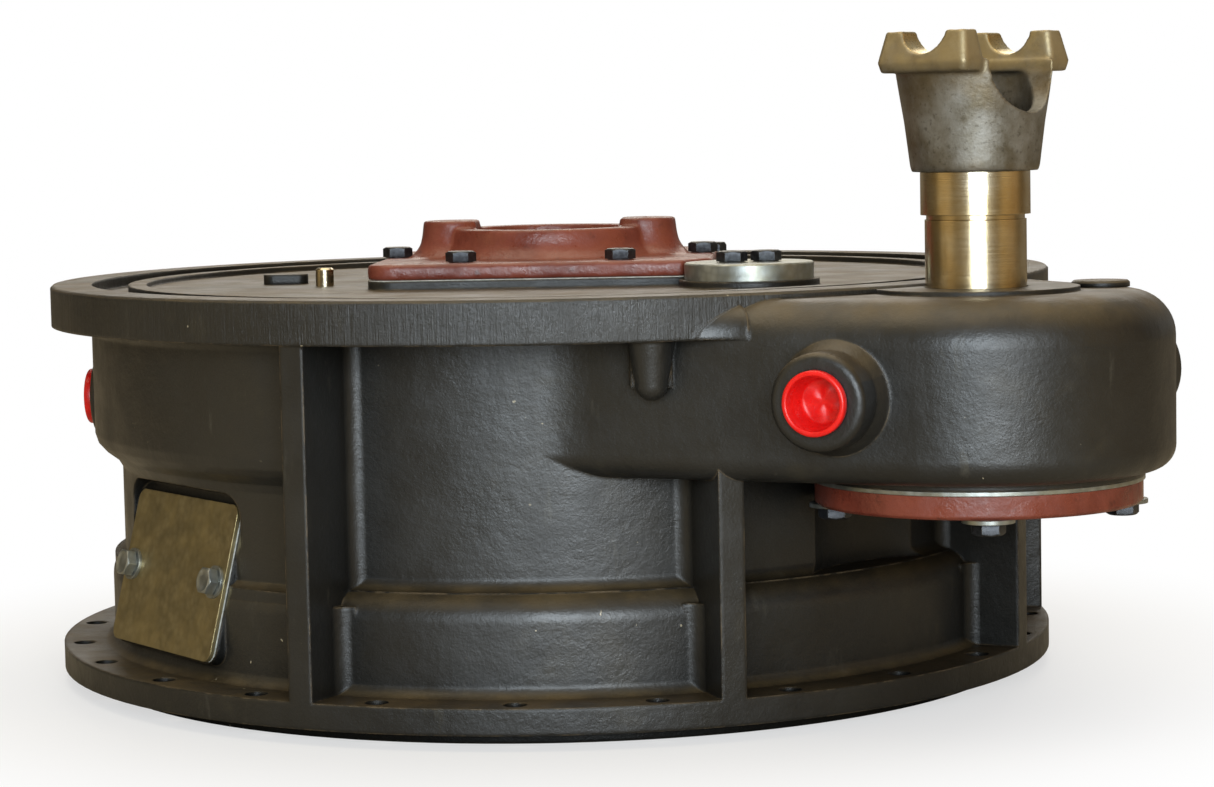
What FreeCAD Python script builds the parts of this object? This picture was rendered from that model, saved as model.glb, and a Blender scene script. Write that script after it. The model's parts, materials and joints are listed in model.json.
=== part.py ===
import FreeCAD, Part
import math
import os

from FreeCAD import Vector, Placement, Rotation

os.makedirs("parts", exist_ok=True)

# Offset planetary gearbox. Millimetres, +Z up. The origin is the centre of the lower flange's
# mating face. Azimuths are measured from the front (-Y) towards +X.

# Casing
FLANGE_R = 276.2
FLANGE_TOP = 13.3
HOUSING_BOLT_CIRCLE_R = 265.1
HOUSING_HOLE_R = 5.95
HOUSING_HOLES = 24
HOUSING_HOLE_START = -4.64
PILOT_R = 255.5
PILOT_DEPTH = 7.7
BELL_R = 232.0
BELL_WALL = 10.0
BULGE_R = 248.0
BULGE_TOP = 64.0
BELT_R = 255.6
BELT_BOTTOM = 117.0
LOWER_BELT_R = 241.0
SIDE_FROM = 107.8
SIDE_TO = 332.7
RIM_R = 277.3
RIM_BOTTOM = 188.1
RIM_TOP = 210.0
RIM_INNER_R = 255.0
DECK_RING_OUTER_R = 235.0
DECK_RING_INNER_R = 225.0
DECK_RING_TOP = 209.0
GROOVE_Z = 203.5
DECK_Z = 206.0
RIB_AZIMUTHS = (-27.3, 17.9, 62.9, 92.0, 107.8, 152.8, 197.8, 242.8)
RIB_T = 13.0
FLOOR_Z = 118.0
CHAMBER_Z = 128.0
ROOF_Z = 196.0
FLOOR_OPENING_R = 112.0
CAST_FILLET = 7.0
FILLET_BITE = 0.2

# Offset gear box
TRAIN_AZIMUTH = 43.67
IDLER_DISTANCE = 152.0
OUTPUT_DISTANCE = 304.0
BOX_MAIN_R = 208.0
BOX_END_R = 97.0
BOX_WALL = 10.0
BOX_BOTTOM = 119.0
BOX_TOP = 206.5
BOX_BLEND_R = 60.0
RIM_BLEND_R = 50.0
BOX_TOP_FILLET = 22.0
BOX_BOTTOM_FILLET = 12.0
PAD_R = 51.0
PAD_TOP = 208.7
PAD_LIP = 1.7
SEAL_R = 40.0
LOWER_PAD_Z = 116.0
LOWER_PAD_R = 82.0
COVER_POCKET_R = 84.0

# Fasteners, three-eighths inch
BOLT_R = 4.76
BOLT_HOLE_R = 4.9
HEAD_AF = 14.29
HEAD_H = 5.95
WASHER_R = 12.7
WASHER_T = 2.0

# Centre cover, with a two-bolt pump pad
COVER_TURN = -4.0
COVER_HALF = 93.0
COVER_BOLT_R = 86.0
COVER_BASE = 211.0
COVER_FLANGE_TOP = 219.6
COVER_RING_TOP = 235.4
COVER_EAR_TOP = 240.0
COVER_SPIGOT_R = 72.4
COVER_COLLAR_R = 54.0
COVER_EAR_R = 17.5
PUMP_PILOT_R = 41.3
PUMP_BOLT_SPACING = 106.4
PUMP_THREAD_R = 4.3
GASKET_T = 0.5

# Transfer gears
MODULE = 4.0
MAIN_TEETH = 39
IDLER_TEETH = 37
OUTPUT_TEETH = 39
GEAR_BOTTOM = 142.0
GEAR_TOP = 176.0

# Planetary stage
PLANET_MODULE = 3.0
SUN_TEETH = 24
PLANET_TEETH = 24
RING_TEETH = 72
PLANETS = 3
PLANET_CENTRE_R = PLANET_MODULE * (SUN_TEETH + PLANET_TEETH) / 2
STAGE_R = 150.0
STAGE_BOLT_R = 140.0
STAGE_BOLTS = 12
PLANET_BOTTOM = 74.3
PLANET_TOP = 98.3
CARRIER_PLATE_T = 8.0
CARRIER_GAP = 0.5

# Shafts
OUTPUT_R = 25.0
OUTPUT_TOP = 242.0
SLEEVE_R = 27.0
SLEEVE_TOP = 265.6
HUB_R = 35.0
HUB_TOP = 219.0
INPUT_R = 24.0
INPUT_END_R = 22.0
INPUT_TRACK_R = 38.5
IDLER_PIN_R = 20.0
IDLER_CAP_R = 34.2
IDLER_SEAT = 209.4
IDLER_CAP_TOP = 218.4
RUN = 0.05

# Half-round end yoke
YOKE_TOP = 334.0
YOKE_PLATE_Z = 313.9
YOKE_AXIS_Z = 336.4
YOKE_SEAT_R = 13.5
YOKE_SEAT_DISTANCE = 34.8
YOKE_LUG_SPACING = 38.7
YOKE_THROAT = 50.0
YOKE_THROAT_Z = 294.0
YOKE_TURN = 45.0
YOKE_NUT_SEAT = 283.0
YOKE_HOLLOW_R = 28.0
YOKE_HOLLOW_Z = 289.0
SPLINE_R = 17.0
THREAD_R = 11.0


def at(azimuth, distance, z=0.0):
    a = math.radians(azimuth)
    return Vector(distance * math.sin(a), -distance * math.cos(a), z)


IDLER = at(TRAIN_AZIMUTH, IDLER_DISTANCE)
OUTPUT = at(TRAIN_AZIMUTH, OUTPUT_DISTANCE)
ORIGIN = Vector(0, 0, 0)


def cyl(radius, bottom, top, centre=ORIGIN):
    return Part.makeCylinder(radius, top - bottom, Vector(centre.x, centre.y, bottom))


def ring(outer, inner, bottom, top, centre=ORIGIN):
    return cyl(outer, bottom, top, centre).cut(cyl(inner, bottom - 1, top + 1, centre))


def cone(r_bottom, r_top, bottom, top, centre=ORIGIN):
    return Part.makeCone(r_bottom, r_top, top - bottom, Vector(centre.x, centre.y, bottom))


def spun(points, centre=ORIGIN):
    corners = [Vector(r, 0, z) for r, z in points]
    face = Part.Face(Part.makePolygon(corners + corners[:1]))
    body = face.revolve(ORIGIN, Vector(0, 0, 1), 360)
    body.translate(Vector(centre.x, centre.y, 0))
    return body


def turned(shape, azimuth, centre=ORIGIN):
    copy = shape.copy()
    copy.rotate(Vector(centre.x, centre.y, 0), Vector(0, 0, 1), azimuth)
    return copy


def placed(shape, position, direction):
    copy = shape.copy()
    copy.Placement = Placement(position, Rotation(Vector(0, 0, 1), direction)).multiply(copy.Placement)
    return copy


def sector(radius, bottom, top, start, end):
    wedge = Part.makeCylinder(radius, top - bottom, Vector(0, 0, bottom), Vector(0, 0, 1), end - start)
    return turned(wedge, start - 90)


def rounded(shape, size, choose):
    edges = [edge for edge in shape.Edges if choose(edge)]
    return shape.makeFillet(size, edges)


def bevelled(shape, size, choose):
    edges = [edge for edge in shape.Edges if choose(edge)]
    return shape.makeChamfer(size, edges)


def flat_at(z):
    def chosen(edge):
        return abs(edge.BoundBox.ZMin - z) < 0.01 and abs(edge.BoundBox.ZMax - z) < 0.01
    return chosen


def upright(edge):
    return edge.BoundBox.ZLength > 0.2 and edge.BoundBox.XLength < 0.01 and edge.BoundBox.YLength < 0.01


def hexagon(across_flats, bottom, top, centre=ORIGIN):
    r = across_flats / math.sqrt(3)
    corners = [Vector(r * math.cos(k * math.pi / 3), r * math.sin(k * math.pi / 3), bottom) for k in range(7)]
    prism = Part.Face(Part.makePolygon(corners)).extrude(Vector(0, 0, top - bottom))
    trim = cone(r * 1.45, r * 0.88, bottom, top)
    prism = prism.common(trim)
    prism.translate(Vector(centre.x, centre.y, 0))
    return prism


def bolt(length, head=HEAD_H, across=HEAD_AF, radius=BOLT_R):
    """A hex bolt whose head rests on z = 0, with its shank below."""
    shank = bevelled(cyl(radius, -length, 0), radius * 0.2, flat_at(-length))
    washer_face = cyl(across * 0.47, 0, head * 0.08)
    return shank.fuse([washer_face, hexagon(across, head * 0.08, head)]).removeSplitter()


def save(name, solids):
    shape = solids if not isinstance(solids, list) else Part.makeCompound(solids)
    for solid in shape.Solids:
        if not solid.isValid():
            print("invalid solid in", name)
    print(name, len(shape.Solids), round(shape.Volume))
    shape.exportStep("parts/" + name + ".step")


def involute(angle):
    return math.tan(angle) - angle


def tooth_flank(teeth, module, r_from, r_to, slack, steps=5):
    """Half-angle of a tooth at radii from root to tip, less the slack at the pitch circle."""
    pitch_r = module * teeth / 2
    pressure = math.radians(20)
    base_r = pitch_r * math.cos(pressure)
    start = max(r_from, base_r)
    flank = []
    for k in range(steps + 1):
        r = start + (r_to - start) * k / steps
        here = math.acos(min(1.0, base_r / r))
        half = math.pi / (2 * teeth) - slack / pitch_r + involute(pressure) - involute(here)
        flank.append((r, half))
    if r_from < base_r:
        flank.insert(0, (r_from, flank[0][1]))
    return flank


def gear_outline(teeth, module, r_from, r_to, slack, turn):
    flank = tooth_flank(teeth, module, r_from, r_to, slack)
    points = []
    for k in range(teeth):
        middle = turn + 2 * math.pi * k / teeth
        for r, half in flank:
            points.append(Vector(r * math.cos(middle - half), r * math.sin(middle - half), 0))
        for r, half in reversed(flank):
            points.append(Vector(r * math.cos(middle + half), r * math.sin(middle + half), 0))
    return points + points[:1]


def gear(teeth, module, bottom, top, bore, turn, centre=ORIGIN, slack=0.08):
    pitch_r = module * teeth / 2
    points = gear_outline(teeth, module, pitch_r - 1.25 * module, pitch_r + 0.95 * module, slack, turn)
    blank = Part.Face(Part.makePolygon(points)).extrude(Vector(0, 0, top - bottom))
    blank.translate(Vector(centre.x, centre.y, bottom))
    return blank.cut(cyl(bore, bottom - 1, top + 1, centre))


def lightened(blank, bottom, top, hub_r, rim_r, depth, centre=ORIGIN):
    """Recess both faces of a gear between its hub and its rim."""
    lower = ring(rim_r, hub_r, bottom - 1, bottom + depth, centre)
    upper = ring(rim_r, hub_r, top - depth, top + 1, centre)
    return blank.cut([lower, upper])


def mesh_turn(first_teeth, first_turn, direction, second_teeth):
    """Turn that puts a space of the second gear opposite a tooth of the first."""
    phase = (direction - first_turn) * first_teeth / (2 * math.pi)
    return direction + math.pi - (0.5 - phase) * 2 * math.pi / second_teeth


def box_side(side, wall_r=BELL_R, blend_r=BOX_BLEND_R):
    """Straight flank and concave blend of the gear box outline, on one side of its centre line."""
    along = at(TRAIN_AZIMUTH, 1)
    lean = math.acos((BOX_MAIN_R - BOX_END_R) / OUTPUT_DISTANCE)
    normal = turned_vector(along, -side * lean)
    line_dir = turned_vector(normal, side * math.pi / 2)
    blend_distance = wall_r + blend_r
    run = math.sqrt(blend_distance ** 2 - (BOX_MAIN_R + blend_r) ** 2)
    blend_centre = normal * (BOX_MAIN_R + blend_r) + line_dir * run
    end_point = OUTPUT + normal * BOX_END_R
    flank_point = blend_centre - normal * blend_r
    drum_point = blend_centre * (wall_r / blend_distance)
    towards = (flank_point - blend_centre) + (drum_point - blend_centre)
    mid_point = blend_centre + towards.normalize() * blend_r
    return end_point, flank_point, mid_point, drum_point, normal


def turned_vector(vector, angle):
    c = math.cos(angle)
    s = math.sin(angle)
    return Vector(vector.x * c - vector.y * s, vector.x * s + vector.y * c, 0)


def box_outline(wall_r=BELL_R, blend_r=BOX_BLEND_R):
    near_end, near_flank, near_mid, near_drum, _ = box_side(1, wall_r, blend_r)
    far_end, far_flank, far_mid, far_drum, _ = box_side(-1, wall_r, blend_r)
    tip = OUTPUT + at(TRAIN_AZIMUTH, BOX_END_R)
    back = at(TRAIN_AZIMUTH + 180, wall_r - 3)
    edges = [
        Part.Arc(near_end, tip, far_end).toShape(),
        Part.LineSegment(far_end, far_flank).toShape(),
        Part.Arc(far_flank, far_mid, far_drum).toShape(),
        Part.Arc(far_drum, back, near_drum).toShape(),
        Part.Arc(near_drum, near_mid, near_flank).toShape(),
        Part.LineSegment(near_flank, near_end).toShape(),
    ]
    return Part.Wire(Part.__sortEdges__(edges))


def gear_box():
    block = Part.Face(box_outline()).extrude(Vector(0, 0, BOX_TOP - BOX_BOTTOM))
    block.translate(Vector(0, 0, BOX_BOTTOM))
    block = rounded(block, BOX_BOTTOM_FILLET, flat_at(BOX_BOTTOM))
    return rounded(block, BOX_TOP_FILLET, flat_at(BOX_TOP))


def rim_blends():
    """Soft upright corners where the rim runs into the two sides of the gear box."""
    wall_r = RIM_R - FILLET_BITE
    bottom = RIM_BOTTOM + 0.3
    block = Part.Face(box_outline(wall_r, RIM_BLEND_R)).extrude(Vector(0, 0, BOX_TOP - bottom))
    block.translate(Vector(0, 0, bottom))
    block = rounded(block, BOX_TOP - bottom - 1, flat_at(BOX_TOP))
    blends = []
    for side in (1, -1):
        _, flank_point, _, rim_point, _ = box_side(side, wall_r, RIM_BLEND_R)
        middle = (flank_point + rim_point) * 0.5
        reach = (flank_point - rim_point).Length / 2 - 1
        blends.append(block.common(cyl(reach, bottom - 1, BOX_TOP + 1, middle)))
    return blends


def chamber():
    """Space for the transfer gears: the drum and a tapering arm around the output axis."""
    room = cyl(BELL_R - BELL_WALL, CHAMBER_Z, ROOF_Z)
    end_r = BOX_END_R - BOX_WALL
    main_r = BOX_MAIN_R - BOX_WALL
    lean = math.acos((main_r - end_r) / OUTPUT_DISTANCE)
    along = at(TRAIN_AZIMUTH, 1)
    left = turned_vector(along, -lean)
    right = turned_vector(along, lean)
    corners = [left * main_r, OUTPUT + left * end_r, OUTPUT + right * end_r, right * main_r]
    arm = Part.Face(Part.makePolygon(corners + corners[:1])).extrude(Vector(0, 0, ROOF_Z - CHAMBER_Z))
    arm.translate(Vector(0, 0, CHAMBER_Z))
    return room.fuse([arm, cyl(end_r, CHAMBER_Z, ROOF_Z, OUTPUT)])


def rib(azimuth):
    plate = Part.makeBox(FLANGE_R, RIB_T, RIM_BOTTOM + 2, Vector(0, -RIB_T / 2, 2))
    plate = turned(plate, azimuth - 90)
    return plate.common(ring(FLANGE_R, BELL_R - BELL_WALL + 1, 0, RIM_TOP))


PORT_BOSS_R = 23.5
PORT_R = 13.0
PORT_DEPTH = 20.0
CAP_FLANGE_R = 15.6
CAP_LIP = 5.0
FRONT_PORT_ALONG = 242.8
FRONT_PORT_OUT = 25.0
FRONT_PORT_Z = 161.0
RIGHT_PORT_AZIMUTH = 120.0
RIGHT_PORT_R = 114.0
RIGHT_PORT_Z = 163.0
LEFT_PORT_AZIMUTH = -96.0
LEFT_PORT_R = 261.0
LEFT_PORT_Z = 143.3
PORT_ROOT = 6.0


def port_frame(which):
    """Face centre, outward direction and boss length of each hose port."""
    if which == "front":
        normal = box_side(1)[4]
        foot = normal * (BOX_MAIN_R + FRONT_PORT_OUT) + turned_vector(normal, math.pi / 2) * FRONT_PORT_ALONG
        return foot + Vector(0, 0, FRONT_PORT_Z), normal, 45
    if which == "right":
        normal = at(RIGHT_PORT_AZIMUTH, 1)
        return OUTPUT + normal * RIGHT_PORT_R + Vector(0, 0, RIGHT_PORT_Z), normal, 40
    normal = at(LEFT_PORT_AZIMUTH, 1)
    return normal * LEFT_PORT_R + Vector(0, 0, LEFT_PORT_Z), normal, 40


def port_boss(which):
    face, normal, length = port_frame(which)
    boss = rounded(cyl(PORT_BOSS_R, -length, 0), 3.5, flat_at(0))
    root = cone(PORT_BOSS_R + PORT_ROOT, PORT_BOSS_R, -28, -18)
    return placed(boss.fuse(root), face, normal)


def port_bore(which):
    face, normal, _ = port_frame(which)
    return placed(cyl(PORT_R, -PORT_DEPTH, 1), face, normal)


def port_cap(which):
    """Dished plastic plug with a flange that rests on the port's face."""
    face, normal, _ = port_frame(which)
    plug = cyl(PORT_R - RUN, -12, 0.05).fuse(cyl(CAP_FLANGE_R, 0.05, CAP_LIP))
    plug = plug.cut(cyl(PORT_R - 2.2, -10, CAP_LIP + 1)).removeSplitter()
    return placed(plug, face, normal)


# Inspection opening on the front left of the bell
PLATE_AZIMUTH = -56.0
PLATE_R = 238.4
PLATE_Z = 62.4
PLATE_LEAN = 14.5
PLATE_HALF_W = 55.0
PLATE_HALF_H = 40.6
PLATE_T = 3.0
PLATE_BOLT_X = 45.9
PAD_BACK = 24.0
PAD_EDGE = 1.0


def on_plate(shape):
    """Place a shape drawn flat (x across, y up, z out) on the leaning inspection pad."""
    copy = shape.copy()
    lean = Rotation(Vector(1, 0, 0), 90 - PLATE_LEAN)
    face = Rotation(Vector(0, 0, 1), PLATE_AZIMUTH)
    seat = Placement(at(PLATE_AZIMUTH, PLATE_R, PLATE_Z), face.multiply(lean))
    copy.Placement = seat.multiply(copy.Placement)
    return copy


def slab(half_w, half_h, bottom, top, corner):
    block = Part.makeBox(2 * half_w, 2 * half_h, top - bottom, Vector(-half_w, -half_h, bottom))
    return rounded(block, corner, upright)


def inspection_pad():
    return on_plate(slab(PLATE_HALF_W + PAD_EDGE, PLATE_HALF_H + PAD_EDGE, -PAD_BACK, 0, 9))


def inspection_window():
    return on_plate(slab(30, 26, -80, 1, 8))


def stage_bolt_places():
    return [at(360 * k / STAGE_BOLTS, STAGE_BOLT_R) for k in range(STAGE_BOLTS)]


def cover_bolt_places():
    return [at(COVER_TURN + 30 + 60 * k, COVER_BOLT_R) for k in range(6)]


def lower_bolt_places():
    return [OUTPUT + at(-4 + 90 * k, 71) for k in range(4)]


def idler_bolt_places():
    return [IDLER + at(105 + 180 * k, 9.5) for k in range(2)]


def under_fillet(wall_r, ceiling):
    """Concave fillet between a round wall and a ceiling above it."""
    centre_r = wall_r + CAST_FILLET - FILLET_BITE
    centre_z = ceiling - CAST_FILLET + FILLET_BITE
    block = ring(centre_r, wall_r - 3, centre_z, ceiling + 0.6)
    return block.cut(Part.makeTorus(centre_r, CAST_FILLET, Vector(0, 0, centre_z)))


def over_fillet(wall_r, ground, sunk=0.6):
    """Concave fillet between a round wall and the ground below it."""
    centre_r = wall_r + CAST_FILLET - FILLET_BITE
    centre_z = ground + CAST_FILLET - FILLET_BITE
    block = ring(centre_r, wall_r - 3, ground - sunk, centre_z)
    return block.cut(Part.makeTorus(centre_r, CAST_FILLET, Vector(0, 0, centre_z)))


def side_of(shape):
    """The part of a round shape on the thick side of the casing."""
    return shape.common(sector(FLANGE_R + 5, -20, 230, SIDE_FROM, SIDE_TO))


def front_of(shape):
    return shape.cut(sector(FLANGE_R + 5, -20, 230, SIDE_FROM, SIDE_TO))


def rib_fillet(azimuth, way, wall_r, bottom, top):
    """Concave fillet in the upright corner between one side of a rib and a round wall."""
    r = CAST_FILLET + 2
    y = RIB_T / 2 + r - FILLET_BITE
    x = math.sqrt((wall_r + r - FILLET_BITE) ** 2 - y ** 2)
    corner = Vector(wall_r - 6, RIB_T / 2 - 1, bottom)
    block = Part.makeBox(x - corner.x, y - corner.y, top - bottom, corner)
    block = block.cut(Part.makeCylinder(r, top - bottom + 2, Vector(x, y, bottom - 1)))
    if way < 0:
        block = block.mirror(ORIGIN, Vector(0, 1, 0))
    return turned(block, azimuth - 90)


def rib_fillets():
    strips = []
    for azimuth in RIB_AZIMUTHS:
        for way in (-1, 1):
            here = (azimuth + way * 2) % 360
            on_side = SIDE_FROM < here < SIDE_TO
            low_r = LOWER_BELT_R if on_side else BELL_R
            high_r = BELT_R if on_side else BELL_R
            strips.append(rib_fillet(azimuth, way, low_r, BULGE_TOP - 12, BELT_BOTTOM + 2))
            strips.append(rib_fillet(azimuth, way, high_r, BELT_BOTTOM, RIM_BOTTOM + 1))
            strips.append(rib_fillet(azimuth, way, BULGE_R, FLANGE_TOP - 1, BULGE_TOP - 7))
    return strips


def side_belt():
    """Thicker wall round the side of the casing, stepping in below the oil gallery."""
    inner = BELL_R - 4
    profile = [
        (inner, FLANGE_TOP - 1),
        (LOWER_BELT_R, FLANGE_TOP - 1),
        (LOWER_BELT_R, BELT_BOTTOM - 7),
        (LOWER_BELT_R + 3, BELT_BOTTOM - 2),
        (BELT_R - 5, BELT_BOTTOM + 3),
        (BELT_R - 1.5, BELT_BOTTOM + 7),
        (BELT_R, BELT_BOTTOM + 12),
        (BELT_R, RIM_BOTTOM + 1),
        (inner, RIM_BOTTOM + 1),
    ]
    return side_of(spun(profile))


def casing_outside():
    bulge = rounded(cyl(BULGE_R, FLANGE_TOP - 2, BULGE_TOP), 14, flat_at(BULGE_TOP))
    solids = [
        cyl(FLANGE_R, 0, FLANGE_TOP),
        cyl(PILOT_R, -PILOT_DEPTH, 1),
        cyl(BELL_R, 1, RIM_BOTTOM + 2),
        bulge,
        side_belt(),
        bevelled(cyl(RIM_R, RIM_BOTTOM, RIM_TOP), 1.2, flat_at(RIM_TOP)),
        gear_box(),
        cyl(PAD_R, BOX_TOP - 6, PAD_TOP, OUTPUT),
        cyl(LOWER_PAD_R, LOWER_PAD_Z, BOX_BOTTOM + 6, OUTPUT),
        inspection_pad(),
        front_of(under_fillet(BELL_R, RIM_BOTTOM)),
        side_of(under_fillet(BELT_R, RIM_BOTTOM)),
        over_fillet(BULGE_R, FLANGE_TOP),
        front_of(over_fillet(BELL_R, BULGE_TOP, 6)),
        side_of(over_fillet(LOWER_BELT_R - 1, BULGE_TOP - 2, 6)),
    ]
    solids += [rib(azimuth) for azimuth in RIB_AZIMUTHS]
    solids += rib_fillets()
    solids += [port_boss(which) for which in ("front", "right", "left")]
    solids += drip_boss()
    solids += rim_blends()
    return solids[0].fuse(solids[1:])


DRIP = Vector(47.5, -259.0, 0)
DRIP_TIP_R = 8.0
DRIP_ROOT_R = 12.0
DRIP_TIP_Z = 167.0


def drip_boss():
    """Tapered boss that hangs under the rim beside the gear box."""
    tip = Part.makeSphere(DRIP_TIP_R, Vector(DRIP.x, DRIP.y, DRIP_TIP_Z))
    web = Part.makeBox(20, 34, 25, Vector(DRIP.x - 10, DRIP.y, DRIP_TIP_Z - 2))
    return [cone(DRIP_TIP_R, DRIP_ROOT_R, DRIP_TIP_Z, RIM_BOTTOM + 2, DRIP), tip, web]


def roof_details():
    """Raised seats on the deck for the cover, the idler cap and the small fittings."""
    seat = turned(Part.makeBox(2 * COVER_HALF, 2 * COVER_HALF, COVER_BASE - GASKET_T - DECK_Z + 1,
                               Vector(-COVER_HALF, -COVER_HALF, DECK_Z - 1)), COVER_TURN)
    seat = rounded(seat, 14, upright).cut(cyl(IDLER_CAP_R + 2, DECK_Z, COVER_BASE, IDLER))
    idler_seat = cyl(IDLER_CAP_R + 3, DECK_Z - 1, IDLER_SEAT, IDLER)
    return [seat, idler_seat]


def bell_cavity():
    pilot_r = PILOT_R - BELL_WALL - 7
    return spun([(0, -PILOT_DEPTH - 1), (pilot_r, -PILOT_DEPTH - 1), (pilot_r, BULGE_TOP - 18),
                 (BELL_R - BELL_WALL, BULGE_TOP), (BELL_R - BELL_WALL, FLOOR_Z), (0, FLOOR_Z)])


def main_casing():
    body = casing_outside()
    deck = [ring(RIM_INNER_R, DECK_RING_OUTER_R, GROOVE_Z, RIM_TOP + 1),
            ring(DECK_RING_OUTER_R + 0.01, DECK_RING_INNER_R, DECK_RING_TOP, RIM_TOP + 1),
            cyl(DECK_RING_INNER_R + 0.01, DECK_Z, RIM_TOP + 1)]
    body = body.cut(deck)
    body = body.fuse(roof_details())
    pocket_wall = cyl(COVER_POCKET_R + BELL_WALL, BULGE_TOP - 8, FLOOR_Z + 1, OUTPUT)
    pocket = cyl(COVER_POCKET_R, BULGE_TOP, LOWER_PAD_Z, OUTPUT)
    body = body.cut([bell_cavity(), chamber()])
    body = body.fuse(pocket_wall.common(cyl(BELL_R - 1, 0, FLOOR_Z + 1)))
    body = body.cut([pocket, on_plate(slab(PLATE_HALF_W + 5, PLATE_HALF_H + 5, 0, 30, 12))])
    inside = [ring(58, 45, 180, ROOF_Z + 1, OUTPUT),
              ring(66, 40, FLOOR_Z, 136, OUTPUT).cut(cyl(60, 100, 140, OUTPUT)),
              cyl(32, FLOOR_Z, 139, IDLER),
              cyl(32, 179, ROOF_Z + 1, IDLER)]
    body = body.fuse(inside)
    bores = [cyl(FLOOR_OPENING_R, FLOOR_Z - 1, CHAMBER_Z + 1),
             cyl(COVER_SPIGOT_R + RUN, ROOF_Z - 1, COVER_BASE + 1),
             cyl(45, 179, 199, OUTPUT),
             cyl(SEAL_R, 198, PAD_TOP - PAD_LIP, OUTPUT),
             cyl(OUTPUT_R + 0.6, 198, PAD_TOP + 1, OUTPUT),
             cyl(60 + RUN, LOWER_PAD_Z - 1, 137, OUTPUT),
             cyl(IDLER_PIN_R, 121, IDLER_SEAT + 1, IDLER)]
    bores += [port_bore(which) for which in ("front", "right", "left")]
    bores.append(inspection_window())
    bores += [on_plate(cyl(4.2, -20, 1, Vector(x, 0, 0))) for x in (-PLATE_BOLT_X, PLATE_BOLT_X)]
    for k in range(HOUSING_HOLES):
        place = at(HOUSING_HOLE_START + k * 360 / HOUSING_HOLES, HOUSING_BOLT_CIRCLE_R)
        bores.append(cyl(HOUSING_HOLE_R, -1, FLANGE_TOP + 5, place))
    bores += [cyl(BOLT_HOLE_R, 198, COVER_BASE + 1, place) for place in cover_bolt_places()]
    bores += [cyl(BOLT_HOLE_R, LOWER_PAD_Z - 1, 127, place) for place in lower_bolt_places()]
    bores += [cyl(BOLT_HOLE_R, FLOOR_Z - 1, 125.5, place) for place in stage_bolt_places()]
    bores.append(cyl(DOWEL_R, DECK_Z - 8, DECK_Z + 1, DOWEL))
    bores.append(cyl(6.1, 198, DECK_Z + 1, ROOF_PLUG))
    return body.cut(bores)


# Small fittings on the deck
DOWEL = Vector(-125.0, -24.0, 0)
DOWEL_R = 5.0
DOWEL_TOP = 216.0
KEY = Vector(-149.0, 6.0, 0)
ROOF_PLUG = Vector(98.0, 128.0, 0)


def deck_key():
    block = Part.makeBox(25, 12, 5.5, Vector(KEY.x - 12.5, KEY.y - 6, DECK_Z))
    return rounded(block, 5.9, upright)


def roof_plug():
    """Hex-headed oil filler plug on a raised collar."""
    plug = cyl(6, 199, DECK_Z).fuse([cyl(11, DECK_Z, DECK_Z + 6), hexagon(15, DECK_Z + 6, DECK_Z + 14)])
    plug.translate(Vector(ROOF_PLUG.x, ROOF_PLUG.y, 0))
    return plug.removeSplitter()


def box_top_plate():
    """Low blanking plate on the box roof, beside the shaft."""
    centre = OUTPUT + at(105, 67)
    return bevelled(cyl(14.5, BOX_TOP, BOX_TOP + 3.2, centre), 1, flat_at(BOX_TOP + 3.2))


def flared(radius, top):
    """Round boss on the cover's flange, spreading out where it meets the flange."""
    foot = COVER_FLANGE_TOP - 1
    profile = [(0, foot), (radius + 11, foot), (radius + 7, foot + 2.5), (radius + 4, foot + 5),
               (radius + 2, foot + 8.5), (radius + 1, foot + 13), (radius, top), (0, top)]
    return spun(profile)


def centre_cover():
    flange = Part.makeBox(2 * COVER_HALF, 2 * COVER_HALF, COVER_FLANGE_TOP - COVER_BASE,
                          Vector(-COVER_HALF, -COVER_HALF, COVER_BASE))
    flange = bevelled(rounded(flange, 14, upright), 1.5, flat_at(COVER_FLANGE_TOP))
    ear_x = PUMP_BOLT_SPACING / 2
    collar = flared(COVER_COLLAR_R, COVER_RING_TOP)
    ears = [Part.makeBox(2 * ear_x, 34, COVER_RING_TOP - COVER_BASE, Vector(-ear_x, -17, COVER_BASE))]
    for side in (-1, 1):
        ears.append(moved(flared(COVER_EAR_R, COVER_EAR_TOP), Vector(side * ear_x, 0, 0)))
    body = flange.fuse([collar] + ears)
    body = body.fuse(cyl(COVER_SPIGOT_R, ROOF_Z - 6, COVER_BASE + 1))
    cuts = [cyl(PUMP_PILOT_R, 221, COVER_EAR_TOP + 1),
            cyl(HUB_R + 2, ROOF_Z - 7, 222),
            cyl(58, ROOF_Z - 7, 209)]
    for side in (-1, 1):
        cuts.append(cyl(PUMP_THREAD_R, 216, COVER_EAR_TOP + 1, Vector(side * ear_x, 0, 0)))
    body = turned(body.cut(cuts), COVER_TURN)
    relief = cyl(IDLER_CAP_R + 2, ROOF_Z, COVER_RING_TOP, IDLER)
    seats = []
    for place in cover_bolt_places():
        seats.append(cyl(BOLT_HOLE_R, 198, COVER_FLANGE_TOP + 20, place))
        seats.append(cyl(10.5, COVER_FLANGE_TOP, COVER_FLANGE_TOP + 20, place))
    return body.cut([relief] + seats).removeSplitter()


def centre_cover_gasket():
    block = Part.makeBox(2 * COVER_HALF, 2 * COVER_HALF, GASKET_T,
                         Vector(-COVER_HALF, -COVER_HALF, COVER_BASE - GASKET_T))
    block = turned(rounded(block, 14, upright), COVER_TURN)
    holes = [cyl(BOLT_HOLE_R, 205, 215, place) for place in cover_bolt_places()]
    holes.append(cyl(COVER_SPIGOT_R + 0.5, 205, 215))
    holes.append(cyl(IDLER_CAP_R + 2, 205, 215, IDLER))
    return block.cut(holes)


def moved(shape, place, z=0.0):
    copy = shape.copy()
    copy.translate(Vector(place.x, place.y, z))
    return copy


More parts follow.
